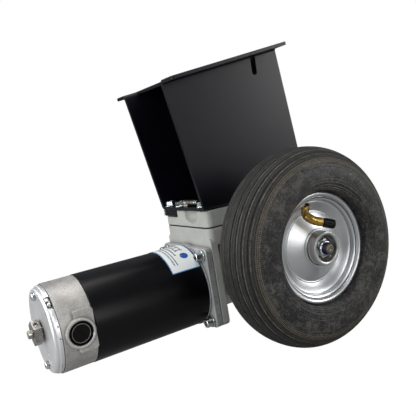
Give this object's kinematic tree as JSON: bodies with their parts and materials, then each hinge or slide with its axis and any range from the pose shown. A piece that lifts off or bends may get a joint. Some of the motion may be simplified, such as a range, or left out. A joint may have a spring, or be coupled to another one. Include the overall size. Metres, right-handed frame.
{
  "type": "geared dc drive motor",
  "caption": "Right-angle worm-geared DC motor under a folded sheet bracket, driving a small pneumatic wheel on its output shaft.",
  "frame": {"origin": "centre of the top mounting face of the bracket's tie plate", "axes": "+Z out of the mounting face; wheel axle along Y with the wheel at -Y; motor points to -X and tips down towards +X by 10.5 degrees"},
  "size_m": [0.4037, 0.2569, 0.3366],
  "materials": {
    "black_enamel": "satin black enamel",
    "cast_alu": "as cast, grainy",
    "machined_alu": "machined",
    "grey_paint": "grey enamel over casting",
    "black_coat": "black powder coat",
    "zinc": "zinc plated",
    "steel": "ground steel",
    "rubber": "black rubber",
    "tyre_rubber": "moulded tyre rubber",
    "rim": "polished silver rim",
    "brass": "drawn brass",
    "bronze": "bronze",
    "copper": "enamelled copper wire",
    "carbon": "pressed carbon",
    "ferrite": "sintered ferrite",
    "plastic": "black moulded plastic",
    "label": "white foil label"
  },
  "bodies": {
    "frame": {"motor_tube": "black_enamel", "rear_end_bell": "cast_alu", "rear_end_plate": "machined_alu", "through_bolt_a": "zinc", "through_bolt_b": "zinc", "magnet_a": "ferrite", "magnet_b": "ferrite", "brush_a": "carbon", "brush_b": "carbon", "brush_spring_a": "steel", "brush_spring_b": "steel", "brush_cap_a": "plastic", "brush_cap_b": "plastic", "motor_bearing_rear": "steel", "motor_bearing_front": "steel", "rating_label": "label", "motor_front_flange": "machined_alu", "flange_screw_1": "zinc", "flange_screw_2": "zinc", "flange_screw_3": "zinc", "flange_screw_4": "zinc", "gearbox_housing": "grey_paint", "housing_gasket": "rubber", "gearbox_cover": "grey_paint", "bracket_bolt_1": "zinc", "bracket_bolt_2": "zinc", "bracket_bolt_3": "zinc", "bracket_bolt_4": "zinc", "bracket_bolt_5": "zinc", "breather_elbow": "zinc", "ribbed_pad": "rubber", "input_seal": "rubber", "output_bearing_outboard": "steel", "output_bearing_inboard": "steel", "output_seal": "rubber", "bearing_cover": "grey_paint", "worm_end_bearing": "steel", "worm_end_cap": "zinc", "mounting_bracket": "black_coat", "tie_plate": "black_coat"},
    "rotor": {"rotor_shaft": "steel", "armature_core": "steel", "armature_winding": "copper", "commutator": "copper", "worm": "steel", "shaft_collar": "steel", "collar_set_screw": "zinc"},
    "wheel": {"worm_wheel": "bronze", "output_shaft": "steel", "gear_key": "steel", "hub_key": "steel", "tyre": "tyre_rubber", "inner_tube": "rubber", "rim_outer_half": "rim", "rim_inner_half": "rim", "wheel_hub": "rim", "hub_washer": "zinc", "hub_nut": "zinc", "valve_stem": "brass", "valve_cap": "plastic"}
  },
  "joints": [
    {"name": "wheel_spin", "type": "hinge", "parent": "frame", "child": "wheel", "pos_m": [-0.01993, 0, -0.22457], "axis": [0, 1, 0], "continuous": true},
    {"name": "rotor_spin", "type": "hinge", "parent": "frame", "child": "rotor", "pos_m": [-0.1103, 0, -0.2485], "axis": [0.9833, 0, -0.1822], "continuous": true}
  ],
  "couplings": [
    {"joint": "rotor_spin", "follows": "wheel_spin", "ratio": 30}
  ]
}
